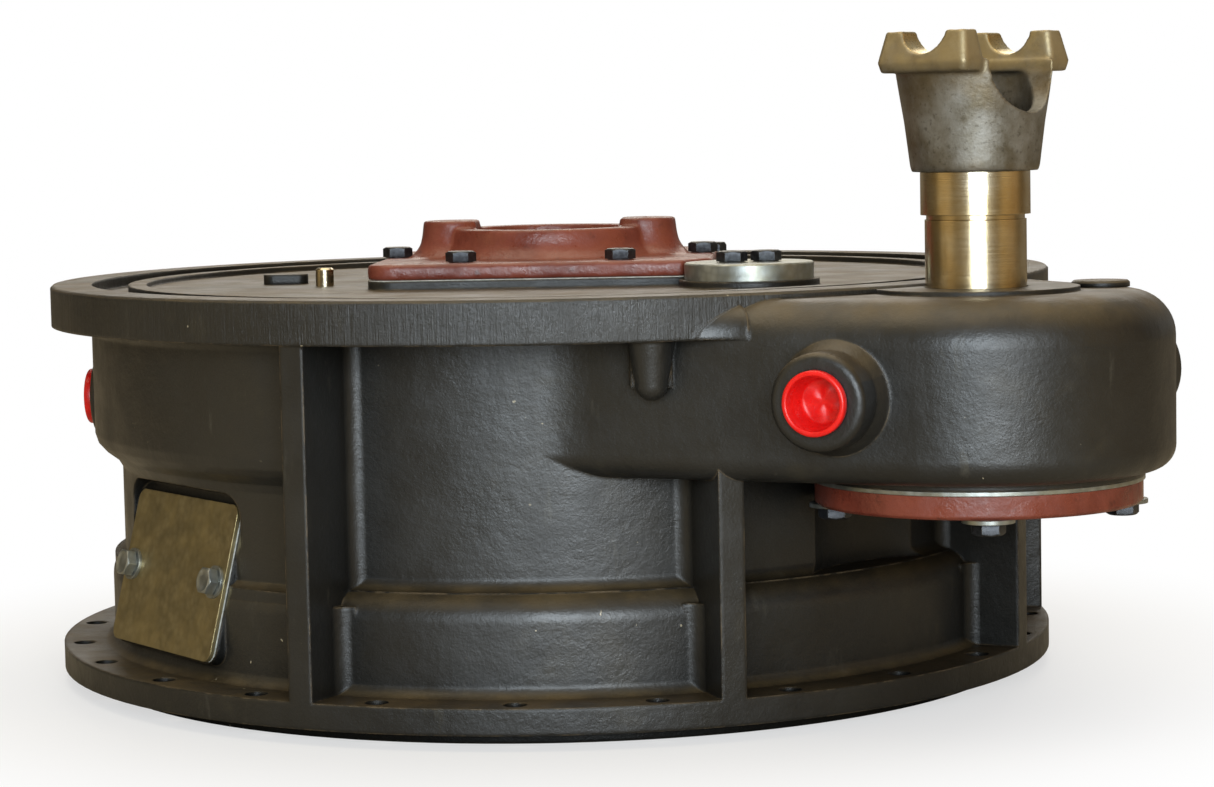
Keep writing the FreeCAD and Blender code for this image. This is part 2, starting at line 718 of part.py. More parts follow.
def roller_set(bottom, top, inner_r, outer_r, count, centre=ORIGIN):
    """Full complement of rollers between two races."""
    middle = (inner_r + outer_r) / 2
    radius = (outer_r - inner_r) / 2 - RUN
    rollers = []
    for k in range(count):
        rollers.append(cyl(radius, bottom + 2, top - 2, centre + at(360 * k / count, middle)))
    return rollers


def outer_race(bottom, top, track_r, outer_r, centre=ORIGIN):
    """Outer race with a lip at each end that keeps the rollers in."""
    body = ring(outer_r, track_r - 2.5, bottom, top, centre)
    return body.cut(cyl(track_r, bottom + 1.9, top - 1.9, centre))


def output_shaft():
    body = cyl(OUTPUT_R, 112, OUTPUT_TOP, OUTPUT)
    body = body.fuse([cyl(OUTPUT_R - 2.5, OUTPUT_TOP - 1, SLEEVE_TOP, OUTPUT),
                      cyl(SPLINE_R, SLEEVE_TOP - 1, YOKE_NUT_SEAT, OUTPUT),
                      cyl(THREAD_R, YOKE_NUT_SEAT - 1, YOKE_NUT_SEAT + 14, OUTPUT),
                      cyl(31, 137.5, GEAR_BOTTOM, OUTPUT)])
    return bevelled(body.removeSplitter(), 1.0, flat_at(YOKE_NUT_SEAT + 14))


def output_sleeve():
    body = ring(SLEEVE_R, OUTPUT_R - 2.5, OUTPUT_TOP + 0.01, SLEEVE_TOP, OUTPUT)
    groove = ring(SLEEVE_R + 1, OUTPUT_R - 0.8, OUTPUT_TOP - 1, OUTPUT_TOP + 2.4, OUTPUT)
    return body.cut(groove)


def yoke():
    """Half-round end yoke: a conical neck, two ears, and two lugs on each ear."""
    neck = spun([(0, SLEEVE_TOP), (31, SLEEVE_TOP), (31.8, SLEEVE_TOP + 3), (34.5, 290), (38.5, 313.9),
                 (38.5, YOKE_PLATE_Z + 6), (0, YOKE_PLATE_Z + 6)])
    body = neck.fuse([yoke_ear(side) for side in (-1, 1)])
    seat = Part.makeCylinder(YOKE_SEAT_R, 120, Vector(-60, 0, YOKE_AXIS_Z), Vector(1, 0, 0))
    throat = Part.makeBox(YOKE_THROAT, 120, 80, Vector(-YOKE_THROAT / 2, -60, YOKE_THROAT_Z + 20))
    round_end = Part.makeCylinder(YOKE_THROAT / 2, 120, Vector(0, -60, YOKE_THROAT_Z + YOKE_THROAT / 2),
                                  Vector(0, 1, 0))
    cuts = [seat, throat, round_end, cyl(SPLINE_R, SLEEVE_TOP - 1, 300), cyl(21, YOKE_NUT_SEAT, 300),
            cyl(YOKE_HOLLOW_R, YOKE_HOLLOW_Z, YOKE_PLATE_Z)]
    for side in (-1, 1):
        for way in (-1, 1):
            place = Vector(side * YOKE_SEAT_DISTANCE, way * YOKE_LUG_SPACING / 2, 0)
            cuts.append(cyl(3.2, YOKE_TOP - 16, YOKE_TOP + 1, place))
    body = body.cut(cuts).removeSplitter()
    return moved(turned(body, YOKE_TURN), OUTPUT)


def rectangle(x_from, x_to, half_y, z):
    outline = ((x_from, -half_y), (x_to, -half_y), (x_to, half_y), (x_from, half_y), (x_from, -half_y))
    return Part.makePolygon([Vector(x, y, z) for x, y in outline])


def yoke_ear(side):
    """Bar across one side of the throat, thinner and narrower at the tops of its lugs."""
    low = YOKE_SEAT_DISTANCE - 8.5
    high = YOKE_SEAT_DISTANCE + 8.5
    half = YOKE_LUG_SPACING / 2 + 7.8
    foot = rectangle(low, high - 1.5, half - 1, YOKE_PLATE_Z)
    waist = rectangle(low, high, half, YOKE_PLATE_Z + 5)
    crown = rectangle(low + 1.5, high - 3.5, half - 3, YOKE_TOP)
    ear = Part.makeLoft([foot, waist, crown], True, True)
    ear = rounded(ear, 3, lambda edge: edge.BoundBox.ZLength > 4)
    return ear if side > 0 else turned(ear, 180)


def carrier():
    """Upper carrier plate, made in one with the hollow hub that carries the main gear."""
    plate_bottom = PLANET_TOP + CARRIER_GAP
    plate_top = plate_bottom + CARRIER_PLATE_T
    plate = cyl(100, plate_bottom, plate_top)
    hub = cyl(HUB_R, plate_top - 1, HUB_TOP)
    posts = []
    for k in range(PLANETS):
        middle = 60 + 120 * k
        post = ring(100, 84, PLANET_BOTTOM - CARRIER_GAP, plate_bottom + 1)
        posts.append(post.common(sector(101, 60, 120, middle - 17, middle + 17)))
    body = plate.fuse([hub, cyl(50, 137.5, 142)] + posts)
    holes = [cyl(10, 90, 120, planet_place(k)) for k in range(PLANETS)]
    holes.append(cyl(16, 190, 230))
    return body.cut(holes).removeSplitter()


def planet_place(k):
    return at(120 * k, PLANET_CENTRE_R)


def lower_carrier_plate():
    body = ring(100, 40, PLANET_BOTTOM - CARRIER_GAP - CARRIER_PLATE_T, PLANET_BOTTOM - CARRIER_GAP)
    return body.cut([cyl(10, 60, 80, planet_place(k)) for k in range(PLANETS)])


def ring_gear():
    """Annulus with internal teeth, clamped between the floor and the input cover."""
    pitch_r = PLANET_MODULE * RING_TEETH / 2
    turn = ring_turn()
    points = gear_outline(RING_TEETH, PLANET_MODULE, pitch_r - 0.9 * PLANET_MODULE,
                          pitch_r + 1.25 * PLANET_MODULE, -0.08, turn)
    space = Part.Face(Part.makePolygon(points)).extrude(Vector(0, 0, 60))
    space.translate(Vector(0, 0, 60))
    body = cyl(STAGE_R, 64, 108)
    relief = [cyl(pitch_r + 1.3 * PLANET_MODULE, 60, PLANET_BOTTOM - 2),
              cyl(pitch_r + 1.3 * PLANET_MODULE, PLANET_TOP + 2, 120)]
    holes = [cyl(BOLT_HOLE_R, 60, 120, place) for place in stage_bolt_places()]
    return body.cut([space] + relief + holes)


def direction_of(k):
    place = planet_place(k)
    return math.atan2(place.y, place.x)


def planet_turn(k):
    return mesh_turn(SUN_TEETH, 0.0, direction_of(k), PLANET_TEETH)


def ring_turn():
    direction = direction_of(0)
    return direction - (direction - planet_turn(0)) * PLANET_TEETH / RING_TEETH


def input_shaft():
    """Splined-end input shaft with the sun gear cut on it."""
    sun = gear(SUN_TEETH, PLANET_MODULE, PLANET_BOTTOM, PLANET_TOP, 5, 0.0)
    end = bevelled(cyl(INPUT_END_R, 8, 31), 1, flat_at(8))
    body = cyl(INPUT_R, 30, PLANET_BOTTOM + 0.5).fuse([end, cyl(29, 56, PLANET_BOTTOM + 0.5), sun])
    return body.cut([cyl(6, PLANET_BOTTOM + 5, PLANET_TOP + 1)]).removeSplitter()


def input_cover():
    """Lower cover of the planetary stage, with the input bearing seat and the seal bore."""
    body = cyl(STAGE_R, 54, 63.99).fuse(cyl(52, 32, 55))
    cuts = [cyl(45, 40, 70), cyl(36, 30, 70)]
    cuts += [cyl(BOLT_HOLE_R, 50, 70, place) for place in stage_bolt_places()]
    return body.cut(cuts)


def middle_plate():
    """Plate above the ring gear that closes the floor opening and seats the lower main bearing."""
    body = ring(STAGE_R, 55, 108.01, FLOOR_Z).fuse(ring(FLOOR_OPENING_R - RUN, 55, 117, 128))
    body = body.fuse(ring(66, 55, 118, 136))
    return body.cut([cyl(BOLT_HOLE_R, 100, 120, place) for place in stage_bolt_places()])


def build():
    save("main_casing", main_casing())
    save("centre_cover", centre_cover())
    save("centre_cover_gasket", centre_cover_gasket())
    cover_bolt = bolt(17)
    save("centre_cover_bolts", [moved(cover_bolt, p, COVER_FLANGE_TOP) for p in cover_bolt_places()])

    pin = cyl(IDLER_PIN_R, 121, IDLER_SEAT, IDLER)
    save("idler_pin", pin.cut([cyl(BOLT_HOLE_R, 190, 215, p) for p in idler_bolt_places()]))
    cap = bevelled(cyl(IDLER_CAP_R, IDLER_SEAT, IDLER_CAP_TOP, IDLER), 0.8, flat_at(IDLER_CAP_TOP))
    save("idler_pin_cap", cap.cut([cyl(BOLT_HOLE_R, 200, 220, p) for p in idler_bolt_places()]))
    save("idler_cap_bolts", [moved(bolt(26), p, IDLER_CAP_TOP) for p in idler_bolt_places()])

    lower = bevelled(cyl(81, 102.5, 114, OUTPUT), 1.5, flat_at(102.5)).fuse(cyl(60, 113, 137, OUTPUT))
    lower = lower.cut([cyl(45, 118, 138, OUTPUT), cyl(28, 107, 120, OUTPUT)])
    save("output_lower_cover", lower.cut([cyl(BOLT_HOLE_R, 100, 120, p) for p in lower_bolt_places()]))
    shim = ring(82, 60.2, 114, LOWER_PAD_Z, OUTPUT)
    save("output_cover_shim", shim.cut([cyl(BOLT_HOLE_R, 100, 120, p) for p in lower_bolt_places()]))
    washer = ring(WASHER_R, BOLT_HOLE_R, 102.5 - WASHER_T, 102.5)
    save("output_cover_washers", [moved(washer, p) for p in lower_bolt_places()])
    upside = bolt(24)
    upside.rotate(ORIGIN, Vector(1, 0, 0), 180)
    save("output_cover_bolts", [moved(upside, p, 102.5 - WASHER_T) for p in lower_bolt_places()])

    save("output_shaft_seal", ring(SEAL_R, OUTPUT_R + RUN, 199.5, PAD_TOP - PAD_LIP - 0.2, OUTPUT))
    spans = ((118, 136.5), (180, 198.5))
    save("output_outer_races", [outer_race(low, high, 41, 45, OUTPUT) for low, high in spans])
    save("output_inner_races", [ring(30, OUTPUT_R, low, high, OUTPUT) for low, high in spans])
    rollers = [roller_set(low, high, 30, 41, 19, OUTPUT) for low, high in spans]
    save("output_rollers", rollers[0] + rollers[1])

    plate = on_plate(slab(PLATE_HALF_W, PLATE_HALF_H, 0.8, PLATE_T, 6))
    holes = [on_plate(cyl(4.6, -1, PLATE_T + 1, Vector(x, 0, 0))) for x in (-PLATE_BOLT_X, PLATE_BOLT_X)]
    save("inspection_cover", plate.cut(holes))
    gasket = on_plate(slab(PLATE_HALF_W, PLATE_HALF_H, 0, 0.8, 6).cut(slab(32, 28, -1, 2, 8)))
    save("inspection_gasket", gasket.cut(holes))
    small = bolt(18, 6.0, 13.0, 4.0)
    washers = []
    bolts = []
    for x in (-PLATE_BOLT_X, PLATE_BOLT_X):
        washers.append(on_plate(moved(ring(8.5, 4.3, PLATE_T, PLATE_T + 1.6), Vector(x, 0, 0))))
        bolts.append(on_plate(Part.makeCompound([moved(small, Vector(x, 0, 0), PLATE_T + 1.6)])).Solids[0])
    save("inspection_washers", washers)
    save("inspection_bolts", bolts)

    for which in ("front", "right", "left"):
        save("port_cap_" + which, port_cap(which))
    save("deck_dowel", bevelled(cyl(DOWEL_R, DECK_Z - 8, DOWEL_TOP, DOWEL), 1.0, flat_at(DOWEL_TOP)))
    save("deck_key", deck_key())
    save("filler_plug", roof_plug())
    save("box_top_plate", box_top_plate())

    save("ring_gear", ring_gear())
    save("middle_plate", middle_plate())
    save("input_cover", input_cover())
    long_bolt = bolt(70)
    long_bolt.rotate(ORIGIN, Vector(1, 0, 0), 180)
    save("planetary_stage_bolts", [moved(long_bolt, p, 54) for p in stage_bolt_places()])
    save("input_shaft_seal", ring(36, INPUT_R + RUN, 33, 40))
    save("input_outer_race", outer_race(40.5, 54, INPUT_TRACK_R, 45))
    save("input_inner_race", ring(30, INPUT_R, 40.5, 54))
    save("input_rollers", roller_set(40.5, 54, 30, INPUT_TRACK_R, 24))

    save("main_upper_outer_race", outer_race(186, 206, 54, 58))
    save("main_upper_inner_race", ring(42, HUB_R, 186, 206))
    save("main_upper_rollers", roller_set(186, 206, 42, 54, 24))
    save("main_lower_outer_race", outer_race(118, 136, 51, 55))
    save("main_lower_inner_race", ring(40, HUB_R, 118, 136))
    save("main_lower_rollers", roller_set(118, 136, 40, 51, 24))

    train = math.atan2(OUTPUT.y, OUTPUT.x)
    idler_turn = mesh_turn(MAIN_TEETH, 0.0, train, IDLER_TEETH)
    output_turn = mesh_turn(IDLER_TEETH, idler_turn, train, OUTPUT_TEETH)
    main = gear(MAIN_TEETH, MODULE, GEAR_BOTTOM, GEAR_TOP, HUB_R, 0.0)
    save("main_gear", lightened(main, GEAR_BOTTOM, GEAR_TOP, 48, 66, 8))
    idler = gear(IDLER_TEETH, MODULE, GEAR_BOTTOM, GEAR_TOP, 32, idler_turn, IDLER)
    save("idler_gear", lightened(idler, GEAR_BOTTOM, GEAR_TOP, 44, 62, 8, IDLER))
    save("idler_bushing", ring(32, IDLER_PIN_R + RUN, GEAR_BOTTOM, GEAR_TOP, IDLER))
    output = gear(OUTPUT_TEETH, MODULE, GEAR_BOTTOM, GEAR_TOP, OUTPUT_R, output_turn, OUTPUT)
    save("output_gear", lightened(output, GEAR_BOTTOM, GEAR_TOP, 40, 66, 8, OUTPUT))

    save("planet_carrier", carrier())
    save("lower_carrier_plate", lower_carrier_plate())
    save("planet_pins", [cyl(10, 66.5, 106, planet_place(k)) for k in range(PLANETS)])
    for k in range(PLANETS):
        place = planet_place(k)
        planet = gear(PLANET_TEETH, PLANET_MODULE, PLANET_BOTTOM, PLANET_TOP, 15, planet_turn(k), place)
        save("planet_gear_" + str(k + 1), planet)
        bushing = ring(15, 10 + RUN, PLANET_BOTTOM, PLANET_TOP, place)
        save("planet_bushing_" + str(k + 1), bushing)
    save("input_shaft", input_shaft())

    save("output_shaft", output_shaft())
    save("output_sleeve", output_sleeve())
    save("output_yoke", yoke())
    nut_bottom = YOKE_NUT_SEAT + 3
    nut = hexagon(30, nut_bottom, nut_bottom + 10, OUTPUT).cut(cyl(THREAD_R, 280, 300, OUTPUT))
    save("yoke_nut", nut)
    save("yoke_washer", ring(20.5, THREAD_R, YOKE_NUT_SEAT, nut_bottom, OUTPUT))


build()
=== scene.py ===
import json
import math

import bmesh
import bpy
import numpy as np
from mathutils import Matrix, Vector


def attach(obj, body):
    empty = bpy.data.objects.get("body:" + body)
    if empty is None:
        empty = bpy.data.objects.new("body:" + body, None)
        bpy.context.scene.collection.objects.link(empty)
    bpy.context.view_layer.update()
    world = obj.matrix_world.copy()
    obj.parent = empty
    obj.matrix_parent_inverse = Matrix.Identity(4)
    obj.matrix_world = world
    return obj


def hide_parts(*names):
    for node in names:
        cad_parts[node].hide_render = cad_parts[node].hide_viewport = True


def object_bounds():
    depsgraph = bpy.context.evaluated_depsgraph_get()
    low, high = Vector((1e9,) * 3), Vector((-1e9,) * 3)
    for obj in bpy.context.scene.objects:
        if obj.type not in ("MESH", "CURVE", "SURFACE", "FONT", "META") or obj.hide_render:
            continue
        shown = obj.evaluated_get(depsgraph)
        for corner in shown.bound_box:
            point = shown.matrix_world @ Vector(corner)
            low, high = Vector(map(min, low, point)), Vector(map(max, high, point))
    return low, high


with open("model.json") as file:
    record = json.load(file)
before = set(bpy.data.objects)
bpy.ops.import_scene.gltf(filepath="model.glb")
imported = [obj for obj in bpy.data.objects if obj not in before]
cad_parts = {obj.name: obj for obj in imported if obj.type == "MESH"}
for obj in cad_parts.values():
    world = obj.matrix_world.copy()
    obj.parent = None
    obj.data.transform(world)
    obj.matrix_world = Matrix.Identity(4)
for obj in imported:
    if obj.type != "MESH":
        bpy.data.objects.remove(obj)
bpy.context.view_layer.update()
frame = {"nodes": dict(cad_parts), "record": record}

NODES = frame["nodes"]
SLOT_OF = {part["node"]: part["material_slot"] for part in frame["record"]["subparts"]}
MOUNTS = {mount["name"]: mount for mount in frame["record"]["mounts"]}
BODY_OF = {node: body for body, members in frame["record"]["behaviour"]["bodies"].items() for node in members}

# ---------------------------------------------------------------- camera
CAMERA_AT = (0.0, -1.7534, 0.2915)
CAMERA_PITCH = 0.0858
CAMERA_YAW = 0.0174
CAMERA_ROLL = -0.0200
LENS_MM = 92.43
SENSOR_MM = 36.0


def link(data, name):
    obj = bpy.data.objects.new(name, data)
    bpy.context.scene.collection.objects.link(obj)
    return obj


def make_camera():
    data = bpy.data.cameras.new("camera")
    data.sensor_width = SENSOR_MM
    data.lens = LENS_MM
    data.clip_start = 0.05
    data.clip_end = 60.0
    cam = link(data, "camera")
    turn = (Matrix.Rotation(-CAMERA_YAW, 4, "Z")
            @ Matrix.Rotation(math.pi / 2 - CAMERA_PITCH, 4, "X")
            @ Matrix.Rotation(CAMERA_ROLL, 4, "Z"))
    cam.matrix_world = Matrix.Translation(CAMERA_AT) @ turn
    bpy.context.scene.camera = cam


# ---------------------------------------------------------------- material toolkit
def srgb(red, green, blue, alpha=1.0):
    """Screen colour in 0..255 as a linear colour."""
    def linear(value):
        share = value / 255
        return share / 12.92 if share <= 0.04045 else ((share + 0.055) / 1.055) ** 2.4
    return (linear(red), linear(green), linear(blue), alpha)


PROBES = 6
NOISE_LOW = 0.3
NOISE_HIGH = 0.7


class Graph:
    """A material and short calls that add nodes to it. Values may be numbers, colours or sockets."""

    def __init__(self, name):
        self.material = bpy.data.materials.new(name)
        self.material.use_nodes = True
        self.nodes = self.material.node_tree.nodes
        self.links = self.material.node_tree.links
        self.nodes.clear()
        self.place = self.add("ShaderNodeTexCoord").outputs["Object"]
        self.geometry = self.add("ShaderNodeNewGeometry")

    def add(self, kind, inputs=None, **settings):
        node = self.nodes.new(kind)
        for key, value in settings.items():
            setattr(node, key, value)
        for key, value in (inputs or {}).items():
            self.feed(node.inputs[key], value)
        return node

    def feed(self, socket, value):
        if isinstance(value, bpy.types.NodeSocket):
            self.links.new(value, socket)
        else:
            socket.default_value = value

    def stretched(self, scale):
        node = self.add("ShaderNodeMapping", {"Vector": self.place, "Scale": scale})
        return node.outputs["Vector"]

    def noise(self, scale, detail=4.0, rough=0.55, where=None):
        inputs = {"Vector": where or self.place, "Scale": scale, "Detail": detail, "Roughness": rough}
        return self.add("ShaderNodeTexNoise", inputs).outputs["Fac"]

    def cells(self, scale):
        return self.add("ShaderNodeTexVoronoi", {"Vector": self.place, "Scale": scale}).outputs["Distance"]

    def ramp(self, value, low, high, start=0.0, end=1.0):
        """Smooth step from start to end while the value goes from low to high."""
        inputs = {"Value": value, "From Min": low, "From Max": high, "To Min": start, "To Max": end}
        return self.add("ShaderNodeMapRange", inputs, interpolation_type="SMOOTHSTEP").outputs["Result"]

    def spread(self, value, start=0.0, end=1.0):
        """A noise's usual range stretched from start to end."""
        return self.ramp(value, NOISE_LOW, NOISE_HIGH, start, end)

    def maths(self, operation, first, second=0.0):
        return self.add("ShaderNodeMath", {0: first, 1: second}, operation=operation).outputs[0]

    def both(self, first, second):
        return self.maths("MULTIPLY", first, second)

    def mix(self, share, first, second):
        node = self.add("ShaderNodeMix", data_type="RGBA")
        self.feed(node.inputs[0], share)
        self.feed(node.inputs[6], first)
        self.feed(node.inputs[7], second)
        return node.outputs[2]

    def edge(self, radius, low=0.02, high=0.25):
        """1 on outside and inside edges, 0 on open faces."""
        inputs = {0: self.soft_normal(radius), 1: self.geometry.outputs["Normal"]}
        dot = self.add("ShaderNodeVectorMath", inputs, operation="DOT_PRODUCT").outputs["Value"]
        return self.ramp(self.maths("SUBTRACT", 1.0, dot), low, high)

    def hollow(self, reach, low=0.35, high=0.85):
        """Ambient-occlusion mask used to paint shade: 1 deep in corners, 0 on open faces."""
        open_share = self.add("ShaderNodeAmbientOcclusion", {"Distance": reach}, samples=PROBES).outputs["AO"]
        return self.ramp(open_share, low, high, 1.0, 0.0)

    def soft_normal(self, radius):
        return self.add("ShaderNodeBevel", {"Radius": radius}, samples=PROBES).outputs["Normal"]

    def facing_up(self, low=0.35, high=0.9):
        split = self.add("ShaderNodeSeparateXYZ", {0: self.geometry.outputs["Normal"]})
        return self.ramp(split.outputs["Z"], low, high)

    def bump(self, height, distance, normal, strength):
        inputs = {"Height": height, "Distance": distance, "Strength": strength}
        if normal is not None:
            inputs["Normal"] = normal
        return self.add("ShaderNodeBump", inputs).outputs["Normal"]

    def finish(self, **inputs):
        """Principled shader; input names use _ for spaces."""
        shader = self.add("ShaderNodeBsdfPrincipled", {k.replace("_", " "): v for k, v in inputs.items()})
        out = self.add("ShaderNodeOutputMaterial")
        self.links.new(shader.outputs[0], out.inputs["Surface"])
        return self.material


# ---------------------------------------------------------------- materials
def casting_height(g, grain=900.0, lumps=70.0):
    """Sand-cast skin: a fine grain over low, broad lumps."""
    fine = g.noise(grain, 3.0, 0.6)
    mid = g.noise(330.0, 3.0, 0.6)
    broad = g.noise(lumps, 3.0, 0.5)
    fine_part = g.both(fine, 0.30)
    mid_part = g.both(mid, 0.45)
    return g.maths("ADD", g.maths("ADD", fine_part, mid_part), g.both(broad, 1.1))


RIM_INSIDE = (0.2758, 0.2766)
RIM_OUTSIDE = (0.2775, 0.2780)
RIM_UNDERSIDE = (0.187, 0.189)


def rim_band(g):
    """1 on the turned edge of the top rim, 0 elsewhere."""
    spot = g.add("ShaderNodeSeparateXYZ", {0: g.place})
    reach = g.maths("SQRT", g.maths("ADD", g.both(spot.outputs["X"], spot.outputs["X"]),
                                    g.both(spot.outputs["Y"], spot.outputs["Y"])))
    on_rim = g.both(g.ramp(reach, *RIM_INSIDE), g.ramp(spot.outputs["Z"], *RIM_UNDERSIDE))
    return g.both(on_rim, g.ramp(reach, *RIM_OUTSIDE, 1.0, 0.0))


def casing_paint():
    """Satin black over cast iron, dusty on top with painted warm light from above, chipped, rubbed bare on
    the edges, and darkened by painted shade in its corners.
    """
    g = Graph("casing_paint")
    patch = g.noise(9.0, 5.0, 0.6)
    base = g.mix(g.ramp(patch, 0.35, 0.7), srgb(23, 23, 22), srgb(34, 33, 30))
    # Upward faces turn warm brown and rougher: partly dust, partly painted warm light from above.
    up = g.facing_up(0.25, 0.95)
    dust_and_top_light = g.both(up, g.ramp(g.noise(26.0, 6.0, 0.65), 0.30, 0.72, 0.25, 1.0))
    base = g.mix(g.both(dust_and_top_light, 0.60), base, srgb(106, 87, 52))
    streak = g.ramp(g.noise(1.0, 6.0, 0.72, g.stretched((60.0, 60.0, 14.0))), 0.60, 0.74)
    base = g.mix(g.both(streak, 0.20), base, srgb(104, 100, 88))
    smudge = g.ramp(g.noise(14.0, 5.0, 0.7), 0.56, 0.74)
    base = g.mix(g.both(smudge, 0.30), base, srgb(66, 60, 46))
    chips = g.ramp(g.noise(230.0, 2.0, 0.5), 0.745, 0.765)
    thin = g.ramp(g.noise(15.0, 2.0, 0.5), 0.53, 0.62)
    base = g.mix(g.both(chips, thin), base, srgb(176, 164, 138))
    wear = g.both(g.edge(0.0018), g.ramp(g.noise(70.0, 5.0, 0.7), 0.42, 0.62))
    base = g.mix(g.both(wear, 0.60), base, srgb(136, 116, 86))
    # Painted shade: corners and recesses are darkened towards near-black by an ambient-occlusion mask.
    painted_corner_shade = g.hollow(0.13, 0.18, 0.68)
    base = g.mix(g.both(painted_corner_shade, 0.80), base, srgb(8, 8, 7))
    rough = g.spread(g.noise(34.0, 6.0, 0.65), 0.33, 0.47)
    rough = g.maths("ADD", rough, g.both(dust_and_top_light, 0.20))
    scrape = g.noise(1.0, 5.0, 0.75, g.stretched((420.0, 420.0, 26.0)))
    tool_marks = g.both(scrape, g.both(rim_band(g), 1.6))
    height = g.maths("ADD", casting_height(g), tool_marks)
    normal = g.bump(height, 0.00045, g.soft_normal(0.0026), 0.8)
    # Painted shade on reflections: the specular level drops in the same shaded corners.
    shine = g.maths("SUBTRACT", 0.62, g.both(painted_corner_shade, 0.52))
    return g.finish(Base_Color=base, Roughness=rough, Normal=normal, Specular_IOR_Level=shine)


def primer_red():
    """Red-brown casting primer, dusty on top with painted warm light from above, and uneven in gloss."""
    g = Graph("primer_red")
    patch = g.noise(30.0, 5.0, 0.6)
    base = g.mix(g.spread(patch), srgb(98, 42, 31), srgb(124, 60, 45))
    # Upward faces turn pale brown: partly dust, partly painted warm light from above.
    dust_and_top_light = g.both(g.facing_up(0.3, 0.95), g.ramp(g.noise(60.0, 5.0, 0.6), 0.35, 0.7, 0.3, 1.0))
    base = g.mix(g.both(dust_and_top_light, 0.4), base, srgb(128, 82, 60))
    dark = g.ramp(g.noise(95.0, 4.0, 0.6), 0.60, 0.72)
    base = g.mix(g.both(dark, 0.5), base, srgb(58, 25, 20))
    wear = g.both(g.edge(0.0014), g.ramp(g.noise(120.0, 4.0, 0.7), 0.42, 0.62))
    base = g.mix(g.both(wear, 0.55), base, srgb(168, 118, 92))
    rough = g.ramp(g.noise(85.0, 5.0, 0.65), 0.32, 0.68, 0.24, 0.52)
    normal = g.bump(casting_height(g, 800.0, 90.0), 0.0006, g.soft_normal(0.0016), 0.8)
    return g.finish(Base_Color=base, Roughness=rough, Normal=normal)


def polished_steel():
    """Ground shaft steel with fine turning lines and an oily, golden stain."""
    g = Graph("polished_steel")
    lines = g.noise(1.0, 4.0, 0.7, g.stretched((22.0, 22.0, 2600.0)))
    stain = g.ramp(g.noise(38.0, 4.0, 0.6), 0.35, 0.7)
    base = g.mix(stain, srgb(204, 184, 144), srgb(216, 206, 184))
    smear = g.ramp(g.noise(1.0, 5.0, 0.7, g.stretched((70.0, 70.0, 12.0))), 0.55, 0.75)
    base = g.mix(g.both(smear, 0.35), base, srgb(150, 126, 84))
    rough = g.spread(lines, 0.15, 0.25)
    normal = g.bump(lines, 0.00003, g.soft_normal(0.0005), 0.6)
    return g.finish(Base_Color=base, Metallic=1.0, Roughness=rough, Normal=normal)


LUG_BAND = (0.311, 0.319)


def forged_steel():
    """Pitted forging, oily in patches and golden on the lugs."""
    g = Graph("forged_steel")
    scale = g.noise(46.0, 6.0, 0.65)
    base = g.mix(g.spread(scale), srgb(104, 97, 82), srgb(150, 148, 142))
    pit = g.ramp(g.noise(420.0, 3.0, 0.6), 0.56, 0.70)
    base = g.mix(g.both(pit, 0.45), base, srgb(66, 60, 48))
    oil = g.ramp(g.noise(20.0, 4.0, 0.6), 0.45, 0.66)
    base = g.mix(g.both(oil, 0.45), base, srgb(120, 100, 64))
    height_up = g.add("ShaderNodeSeparateXYZ", {0: g.place}).outputs["Z"]
    lugs = g.both(g.ramp(height_up, *LUG_BAND), g.ramp(g.noise(55.0, 4.0, 0.6), 0.30, 0.60, 0.45, 1.0))
    base = g.mix(g.both(lugs, 0.75), base, srgb(182, 164, 122))
    wear = g.both(g.edge(0.0012), g.ramp(g.noise(160.0, 4.0, 0.7), 0.36, 0.6))
    base = g.mix(g.both(wear, 0.7), base, srgb(206, 188, 146))
    # Painted shade: the forging is darkened in its corners and recesses by an ambient-occlusion mask.
    base = g.mix(g.both(g.hollow(0.03), 0.7), base, srgb(26, 22, 16))
    rough = g.spread(scale, 0.40, 0.56)
    height = g.maths("ADD", g.both(g.noise(620.0, 3.0, 0.6), 0.6), g.both(g.noise(150.0, 3.0, 0.55), 0.9))
    normal = g.bump(height, 0.00022, g.soft_normal(0.0012), 0.8)
    return g.finish(Base_Color=base, Metallic=0.80, Roughness=rough, Normal=normal)


def bored_steel():
    """Freshly bored faces, still bright and golden with oil."""
    g = Graph("bored_steel")
    grain = g.noise(1.0, 4.0, 0.7, g.stretched((900.0, 900.0, 900.0)))
    base = g.mix(g.spread(g.noise(70.0, 4.0, 0.6)), srgb(206, 182, 126), srgb(214, 202, 168))
    rough = g.spread(grain, 0.24, 0.40)
    normal = g.bump(grain, 0.00005, None, 0.5)
    return g.finish(Base_Color=base, Metallic=0.95, Roughness=rough, Normal=normal)


def machined_iron():
    """Turned iron with fine lines and a little rust."""
    g = Graph("machined_iron")
    lines = g.noise(1.0, 4.0, 0.7, g.stretched((30.0, 30.0, 1800.0)))
    grain = g.noise(260.0, 4.0, 0.6)
    base = g.mix(g.spread(grain), srgb(120, 120, 114), srgb(158, 158, 152))
    rust = g.ramp(g.noise(70.0, 5.0, 0.65), 0.60, 0.74)
    base = g.mix(g.both(rust, 0.45), base, srgb(116, 96, 70))
    rough = g.spread(grain, 0.26, 0.40)
    height = g.maths("ADD", lines, g.both(grain, 0.4))
    normal = g.bump(height, 0.00006, g.soft_normal(0.0007), 0.7)
    return g.finish(Base_Color=base, Metallic=0.9, Roughness=rough, Normal=normal)


